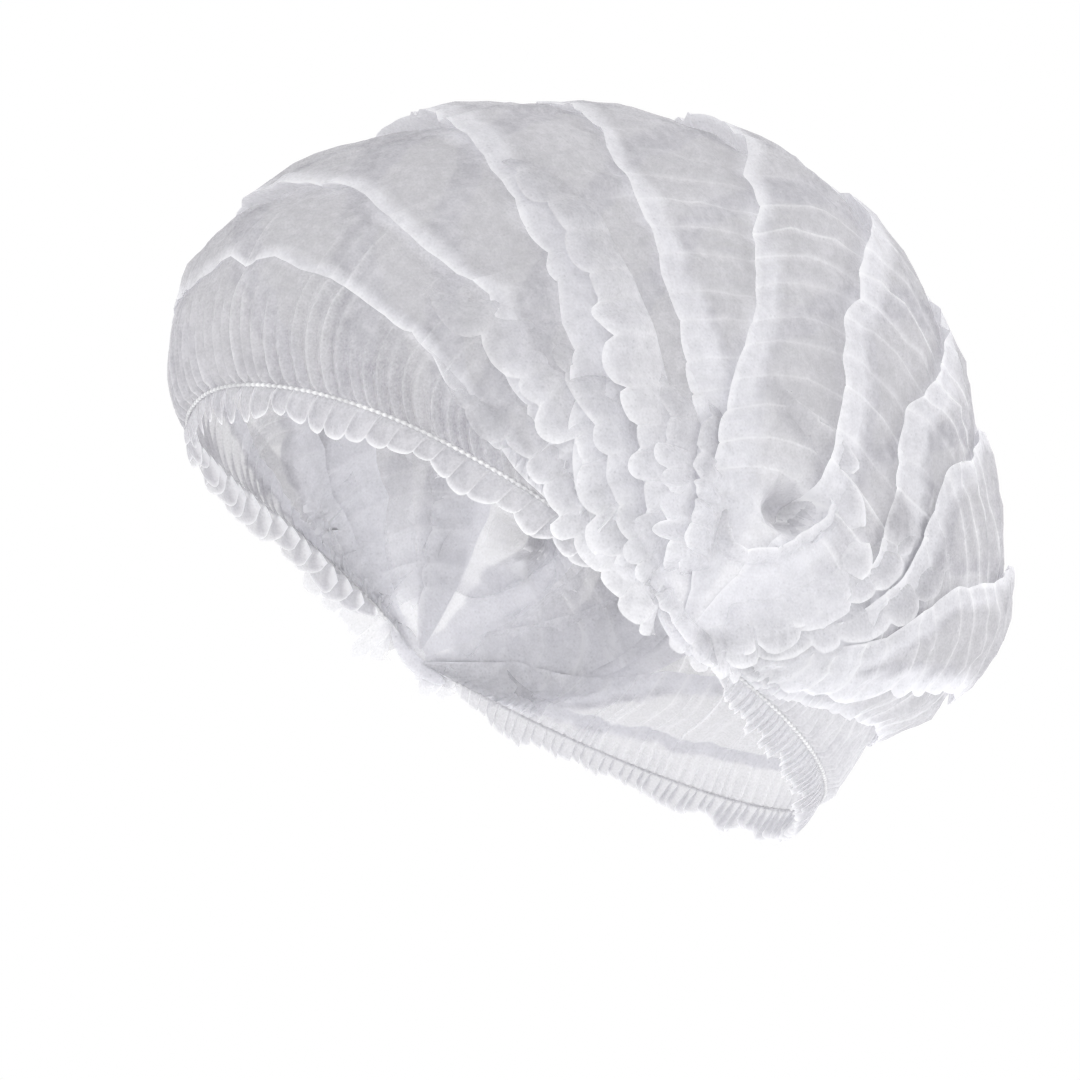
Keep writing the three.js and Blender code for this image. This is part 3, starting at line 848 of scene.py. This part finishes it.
clothLook = {
    "thin": (0.40, 0.394, 0.42, 1), "thick": (0.60, 0.594, 0.62, 1), "stack": (0.925, 0.925, 0.95, 1),
    # "edge" is the colour of the painted highlight on free edges, crimp ridges and pinches
    "edge": (0.97, 0.97, 0.98, 1),
    "alpha": 0.63, "alphaSwing": 0.13, "stackAlpha": 0.2, "edgeAlpha": 0.95, "veilAlpha": 0.5, "glow": 0.42,
    "cloudScale": 260.0, "fibreScale": 1500.0, "patchScale": 35.0, "bondScale": 620.0, "gloss": 0.2,
}
elasticLook = {
    "dark": (0.5, 0.5, 0.515, 1), "light": (0.84, 0.84, 0.85, 1), "threadScale": 2200.0, "patchScale": 160.0,
}


def makeClothFinish():
    look = clothLook
    finish = Finish("nonwoven")
    place = finish.node("ShaderNodeTexCoord", output=3)     # Object
    crimp = finish.node("ShaderNodeAttribute", {"attribute_name": "crimp"}, output=2)
    edge = finish.node("ShaderNodeAttribute", {"attribute_name": "edge"}, output=2)
    stack = finish.node("ShaderNodeAttribute", {"attribute_name": "stack"}, output=2)
    veil = finish.node("ShaderNodeAttribute", {"attribute_name": "veil"}, output=2)
    cloud = finish.node("ShaderNodeTexNoise", None,
                        {"Vector": place, "Scale": look["cloudScale"], "Detail": 1.5, "Roughness": 0.65})
    fibre = finish.node("ShaderNodeTexNoise", None,
                        {"Vector": place, "Scale": look["fibreScale"], "Detail": 1.0})
    wide = finish.node("ShaderNodeTexNoise", None,
                        {"Vector": place, "Scale": look["patchScale"], "Detail": 0.0})
    bonds = finish.node("ShaderNodeTexVoronoi", {"feature": "F1"},
                        {"Vector": place, "Scale": look["bondScale"], "Randomness": 0.35})
    bondDot = finish.spread(bonds, 0.1, 0.32, 1.0, 0.0)
    density = cloud * 0.5 + fibre * 0.28 + wide * 0.22
    dense = finish.spread(density, 0.34, 0.64, 0.0, 1.0)
    # painted highlight: where the crimp and edge marks lie, the colour is mixed toward the near-white edge
    # colour, and the cloth is made more opaque there
    line = finish.clamp(crimp * 0.8 + edge, 0.0, 1.0)
    colour = finish.mix(dense, look["thin"], look["thick"])
    colour = finish.mix(stack * 0.85, colour, look["stack"])
    colour = finish.mix(line, colour, look["edge"])
    alpha = finish.spread(density, 0.34, 0.64,
                          look["alpha"] - look["alphaSwing"], look["alpha"] + look["alphaSwing"])
    alpha = alpha - bondDot * 0.1 + stack * look["stackAlpha"] - veil * look["veilAlpha"]
    alpha = alpha + line * (look["edgeAlpha"] - look["alpha"])
    alpha = finish.clamp(alpha, 0.2, 0.97)
    height = cloud * 0.6 + fibre * 0.4
    bump = finish.node("ShaderNodeBump", None, {"Height": height, "Strength": 0.25, "Distance": 0.0004})
    roughness = finish.spread(fibre, 0.3, 0.7, 0.72, 0.92)
    finish.feed(baseColor=colour, alpha=alpha, normal=bump, roughness=roughness)
    finish.shader.inputs["Specular IOR Level"].default_value = look["gloss"]
    finish.letThrough(look["glow"], colour, alpha)
    return finish.material


def makeElasticFinish():
    finish = Finish("elastic")
    place = finish.node("ShaderNodeTexCoord", output=3)
    thread = finish.node("ShaderNodeTexNoise", None,
                        {"Vector": place, "Scale": elasticLook["threadScale"], "Detail": 3.0})
    patch = finish.node("ShaderNodeTexNoise", None,
                        {"Vector": place, "Scale": elasticLook["patchScale"], "Detail": 1.0})
    stitch = finish.node("ShaderNodeAttribute", {"attribute_name": "stitch"}, output=2)
    shade = finish.spread(thread * 0.35 + patch * 0.3 + stitch * 0.35, 0.3, 0.7, 0.0, 1.0)
    colour = finish.mix(shade, elasticLook["dark"], elasticLook["light"])
    bump = finish.node("ShaderNodeBump", None, {"Height": thread, "Strength": 0.5, "Distance": 0.0003})
    finish.feed(baseColor=colour, normal=bump, roughness=finish.spread(thread, 0.3, 0.7, 0.6, 0.85))
    return finish.material


clothFinish = makeClothFinish()
elasticFinish = makeElasticFinish()
print("finishes made")

crown = makeCrown()
ruffles = [makeRuffle("front"), makeRuffle("back")]
for piece in [crown] + ruffles:
    piece.data.materials.append(clothFinish)
for which in ("front", "back"):
    makeElastic(which).data.materials.append(elasticFinish)

for sideName, hand in (("left", 1), ("right", -1)):
    makeEndTab(sideName, hand).data.materials.append(clothFinish)

# ---------- floor, light and camera ----------
room = {"floorDrop": 0.30, "floorSize": 3.4, "wall": 1.0, "fill": 0.67, "floorGlow": 0.42}
bpy.ops.object.select_all(action="DESELECT")
bpy.ops.mesh.primitive_plane_add(size=room["floorSize"], location=(0, 0, cadBox[0][2] - room["floorDrop"]))
floor = bpy.context.object
floor.name = "floor"
floorFinish = Finish("pale_floor")
floorFinish.shader.inputs["Base Color"].default_value = (0.93, 0.93, 0.935, 1)
floorFinish.shader.inputs["Roughness"].default_value = 0.9
floorFinish.shader.inputs["Emission Color"].default_value = (1, 1, 1, 1)
floorFinish.shader.inputs["Emission Strength"].default_value = room["floorGlow"]
floor.data.materials.append(floorFinish.material)

world = bpy.data.worlds.new("room")
bpy.context.scene.world = world
world.use_nodes = True
tree = world.node_tree
fillLight = tree.nodes["Background"]                    # what lights the cap
fillLight.inputs["Strength"].default_value = room["fill"]
fillLight.inputs["Color"].default_value = (1, 1, 1, 1)
wall = tree.nodes.new("ShaderNodeBackground")            # the white wall that is seen
wall.inputs["Strength"].default_value = room["wall"]
wall.inputs["Color"].default_value = (1, 1, 1, 1)
path = tree.nodes.new("ShaderNodeLightPath")
pick = tree.nodes.new("ShaderNodeMixShader")
tree.links.new(path.outputs["Is Camera Ray"], pick.inputs[0])
tree.links.new(fillLight.outputs[0], pick.inputs[1])
tree.links.new(wall.outputs[0], pick.inputs[2])
tree.links.new(pick.outputs[0], tree.nodes["World Output"].inputs["Surface"])
bpy.context.scene.view_settings.view_transform = "Standard"

lights = (
    {"name": "key", "place": (1.6, -1.3, 1.1), "size": 1.8, "power": 20},
    {"name": "front", "place": (-0.4, -2.2, 0.9), "size": 2.4, "power": 9},
    {"name": "rearSide", "place": (-2.1, 1.0, 1.0), "size": 1.8, "power": 16},
    {"name": "behind", "place": (0.6, 2.3, 1.0), "size": 2.2, "power": 36},
)
middle = (0.0, 0.02, -0.09)


def aim(thing, place, target):
    # turns an object's -Z axis at the target
    away = np.array(place) - np.array(target)
    away = away / np.linalg.norm(away)
    thing.rotation_euler = (math.acos(away[2]), 0, math.atan2(away[0], -away[1]))
    thing.location = place


for entry in lights:
    data = bpy.data.lights.new(entry["name"], "AREA")
    data.size = entry["size"]
    data.energy = entry["power"]
    lamp = bpy.data.objects.new(entry["name"], data)
    bpy.context.scene.collection.objects.link(lamp)
    aim(lamp, entry["place"], middle)

view = {
    "azimuth": 63.0, "elevation": -5.0, "distance": 1.25, "target": (0.0, 0.0, -0.085),
    "frameWidth": 0.30024,
    "shift": (0.0138888889, -0.0777777778),                  # as shares of the frame's width
}
cameraData = bpy.data.cameras.new("camera")
camera = bpy.data.objects.new("camera", cameraData)
bpy.context.scene.collection.objects.link(camera)
azimuth, elevation = math.radians(view["azimuth"]), math.radians(view["elevation"])
level = math.cos(elevation)
back = (math.sin(azimuth) * level, -math.cos(azimuth) * level, math.sin(elevation))
place = [view["target"][n] + back[n] * view["distance"] for n in range(3)]
aim(camera, place, view["target"])
cameraData.lens = 36.0 * view["distance"] / view["frameWidth"]
cameraData.sensor_width = 36.0
cameraData.shift_x, cameraData.shift_y = view["shift"]
bpy.context.scene.camera = camera
print("camera and lights set")
